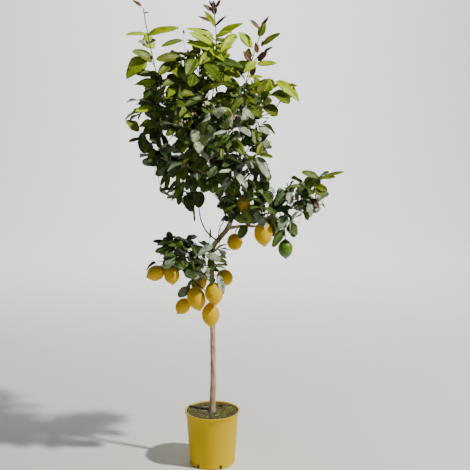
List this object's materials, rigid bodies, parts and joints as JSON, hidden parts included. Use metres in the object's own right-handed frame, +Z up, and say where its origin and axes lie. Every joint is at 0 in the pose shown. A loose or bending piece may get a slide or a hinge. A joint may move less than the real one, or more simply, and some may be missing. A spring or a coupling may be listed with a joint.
{
  "type": "potted lemon tree",
  "caption": "Standard lemon tree with a bare crooked trunk, a leafy crown with shoots and ripe lemons, growing in a round yellow plastic pot.",
  "frame": {"origin": "middle of the pot's flat underside, on the surface it stands on", "axes": "+Z up along the pot's axis, +X to the right and +Y away as seen from the front"},
  "size_m": [0.775, 0.5266, 1.6997],
  "materials": {
    "yellow_plastic": "smooth moulded plastic, semi-matt",
    "compost": "granular moist compost",
    "bark": "smooth bark with fine ridges",
    "foliage": "glossy leaves"
  },
  "bodies": {
    "root": {"pot": "yellow_plastic", "compost": "compost", "trunk": "bark", "bough_low_left": "bark", "bough_low_front": "bark", "bough_arch_left": "bark", "bough_arch_mid": "bark", "bough_right_arm": "bark", "bough_right_out": "bark", "bough_neck_right": "bark", "bough_left": "bark", "bough_front": "bark", "bough_back": "bark", "bough_right": "bark", "leader": "bark", "bough_left_high": "bark", "bough_right_high": "bark", "bough_back_high": "bark", "bough_front_high": "bark", "bough_shoot_left": "bark", "bough_shoot_right": "bark", "bough_spray_right": "bark", "bough_shoot_centre": "bark", "foliage_left_low": "foliage", "foliage_front_low": "foliage", "foliage_right_low": "foliage", "foliage_back_low": "foliage", "foliage_left_high": "foliage", "foliage_front_high": "foliage", "foliage_right_high": "foliage", "foliage_back_high": "foliage", "foliage_crown_top": "foliage", "foliage_tail_left": "foliage", "foliage_tail_mid": "foliage", "foliage_tail_right": "foliage", "foliage_right_inner": "foliage", "foliage_right_outer": "foliage", "foliage_low_left": "foliage", "foliage_low_front": "foliage", "shoot_left": "foliage", "shoot_centre": "foliage", "shoot_right": "foliage", "spray_right": "foliage"}
  },
  "joints": []
}
